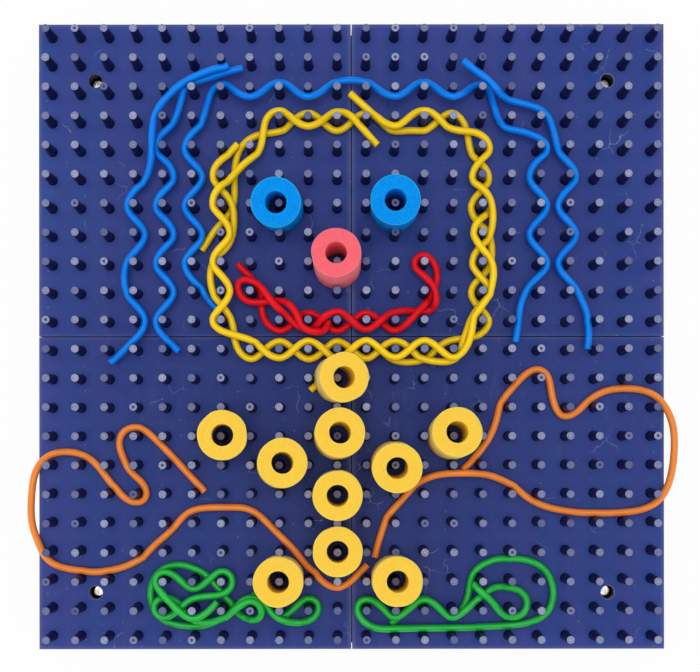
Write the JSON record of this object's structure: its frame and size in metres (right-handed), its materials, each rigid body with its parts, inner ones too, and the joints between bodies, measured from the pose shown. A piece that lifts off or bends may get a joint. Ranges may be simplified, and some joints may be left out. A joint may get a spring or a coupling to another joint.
{
  "type": "peg weaving board toy",
  "caption": "Square board of moulded pegs in a grid, with flexible cords woven round the pegs and foam rings pressed over them to make a picture.",
  "frame": {"origin": "centre of the carrier board's underside", "axes": "+X to the picture's right, +Y to the picture's top, +Z out of the face along the pegs"},
  "size_m": [0.6202, 0.5996, 0.0819],
  "materials": {
    "back_board": "plain fibreboard",
    "screw_steel": "bright, worn",
    "panel_plastic": "moulded, scuffed",
    "peg_plastic": "moulded, paler at the tips",
    "blue_foam": "fine closed-cell foam",
    "pink_foam": "fine closed-cell foam",
    "yellow_foam": "fine closed-cell foam",
    "blue_cord": "smooth satin",
    "yellow_cord": "smooth satin",
    "red_cord": "smooth satin",
    "orange_cord": "smooth satin",
    "green_cord": "smooth satin"
  },
  "bodies": {
    "board": {"back_board": "back_board", "corner_screws": "screw_steel", "rear_screws": "screw_steel", "panel_top_left": "panel_plastic", "panel_top_right": "panel_plastic", "panel_bottom_left": "panel_plastic", "panel_bottom_right": "panel_plastic", "pegs_top_left": "peg_plastic", "pegs_top_right": "peg_plastic", "pegs_bottom_left": "peg_plastic", "pegs_bottom_right": "peg_plastic"},
    "ring_blue_left": {"ring_blue_left": "blue_foam"},
    "ring_blue_right": {"ring_blue_right": "blue_foam"},
    "ring_pink": {"ring_pink": "pink_foam"},
    "ring_yellow_collar": {"ring_yellow_collar": "yellow_foam"},
    "ring_yellow_chest": {"ring_yellow_chest": "yellow_foam"},
    "ring_yellow_waist": {"ring_yellow_waist": "yellow_foam"},
    "ring_yellow_hip": {"ring_yellow_hip": "yellow_foam"},
    "ring_yellow_left_outer": {"ring_yellow_left_outer": "yellow_foam"},
    "ring_yellow_left_inner": {"ring_yellow_left_inner": "yellow_foam"},
    "ring_yellow_right_inner": {"ring_yellow_right_inner": "yellow_foam"},
    "ring_yellow_right_outer": {"ring_yellow_right_outer": "yellow_foam"},
    "ring_yellow_left_low": {"ring_yellow_left_low": "yellow_foam"},
    "ring_yellow_right_low": {"ring_yellow_right_low": "yellow_foam"},
    "cord_blue_outer_left": {"cord_blue_outer_left": "blue_cord"},
    "cord_blue_inner_left": {"cord_blue_inner_left": "blue_cord"},
    "cord_blue_arch": {"cord_blue_arch": "blue_cord"},
    "cord_blue_right": {"cord_blue_right": "blue_cord"},
    "cord_yellow_low": {"cord_yellow_low": "yellow_cord"},
    "cords_yellow_laced": {"cord_yellow_mid": "yellow_cord", "cord_yellow_top": "yellow_cord"},
    "cord_red": {"cord_red": "red_cord"},
    "cord_orange_left": {"cord_orange_left": "orange_cord"},
    "cord_orange_right": {"cord_orange_right": "orange_cord"},
    "cord_green_left": {"cord_green_left": "green_cord"},
    "cord_green_right": {"cord_green_right": "green_cord"}
  },
  "joints": [
    {"name": "ring_blue_left_lift", "type": "slide", "parent": "board", "child": "ring_blue_left", "axis": [0, 0, 1], "range_m": [0, 0.06]},
    {"name": "ring_blue_right_lift", "type": "slide", "parent": "board", "child": "ring_blue_right", "axis": [0, 0, 1], "range_m": [0, 0.06]},
    {"name": "ring_pink_lift", "type": "slide", "parent": "board", "child": "ring_pink", "axis": [0, 0, 1], "range_m": [0, 0.06]},
    {"name": "ring_yellow_collar_lift", "type": "slide", "parent": "cords_yellow_laced", "child": "ring_yellow_collar", "axis": [0, 0, 1], "range_m": [0, 0.06]},
    {"name": "ring_yellow_chest_lift", "type": "slide", "parent": "board", "child": "ring_yellow_chest", "axis": [0, 0, 1], "range_m": [0, 0.06]},
    {"name": "ring_yellow_waist_lift", "type": "slide", "parent": "board", "child": "ring_yellow_waist", "axis": [0, 0, 1], "range_m": [0, 0.06]},
    {"name": "ring_yellow_hip_lift", "type": "slide", "parent": "board", "child": "ring_yellow_hip", "axis": [0, 0, 1], "range_m": [0, 0.06]},
    {"name": "ring_yellow_left_outer_lift", "type": "slide", "parent": "board", "child": "ring_yellow_left_outer", "axis": [0, 0, 1], "range_m": [0, 0.06]},
    {"name": "ring_yellow_left_inner_lift", "type": "slide", "parent": "board", "child": "ring_yellow_left_inner", "axis": [0, 0, 1], "range_m": [0, 0.06]},
    {"name": "ring_yellow_right_inner_lift", "type": "slide", "parent": "board", "child": "ring_yellow_right_inner", "axis": [0, 0, 1], "range_m": [0, 0.06]},
    {"name": "ring_yellow_right_outer_lift", "type": "slide", "parent": "board", "child": "ring_yellow_right_outer", "axis": [0, 0, 1], "range_m": [0, 0.06]},
    {"name": "ring_yellow_left_low_lift", "type": "slide", "parent": "board", "child": "ring_yellow_left_low", "axis": [0, 0, 1], "range_m": [0, 0.06]},
    {"name": "ring_yellow_right_low_lift", "type": "slide", "parent": "board", "child": "ring_yellow_right_low", "axis": [0, 0, 1], "range_m": [0, 0.06]},
    {"name": "cord_blue_outer_left_lift", "type": "slide", "parent": "cord_blue_inner_left", "child": "cord_blue_outer_left", "axis": [0, 0, 1], "range_m": [0, 0.03]},
    {"name": "cord_blue_inner_left_lift", "type": "slide", "parent": "board", "child": "cord_blue_inner_left", "axis": [0, 0, 1], "range_m": [0, 0.03]},
    {"name": "cord_blue_arch_lift", "type": "slide", "parent": "cord_yellow_low", "child": "cord_blue_arch", "axis": [0, 0, 1], "range_m": [0, 0.03]},
    {"name": "cord_blue_right_lift", "type": "slide", "parent": "cord_blue_arch", "child": "cord_blue_right", "axis": [0, 0, 1], "range_m": [0, 0.03]},
    {"name": "cord_yellow_low_lift", "type": "slide", "parent": "board", "child": "cord_yellow_low", "axis": [0, 0, 1], "range_m": [0, 0.03]},
    {"name": "cords_yellow_laced_lift", "type": "slide", "parent": "cord_blue_arch", "child": "cords_yellow_laced", "axis": [0, 0, 1], "range_m": [0, 0.03]},
    {"name": "cord_red_lift", "type": "slide", "parent": "board", "child": "cord_red", "axis": [0, 0, 1], "range_m": [0, 0.03]},
    {"name": "cord_orange_left_lift", "type": "slide", "parent": "board", "child": "cord_orange_left", "axis": [0, 0, 1], "range_m": [0, 0.03]},
    {"name": "cord_orange_right_lift", "type": "slide", "parent": "board", "child": "cord_orange_right", "axis": [0, 0, 1], "range_m": [0, 0.03]},
    {"name": "cord_green_left_lift", "type": "slide", "parent": "board", "child": "cord_green_left", "axis": [0, 0, 1], "range_m": [0, 0.03]},
    {"name": "cord_green_right_lift", "type": "slide", "parent": "board", "child": "cord_green_right", "axis": [0, 0, 1], "range_m": [0, 0.03]}
  ]
}
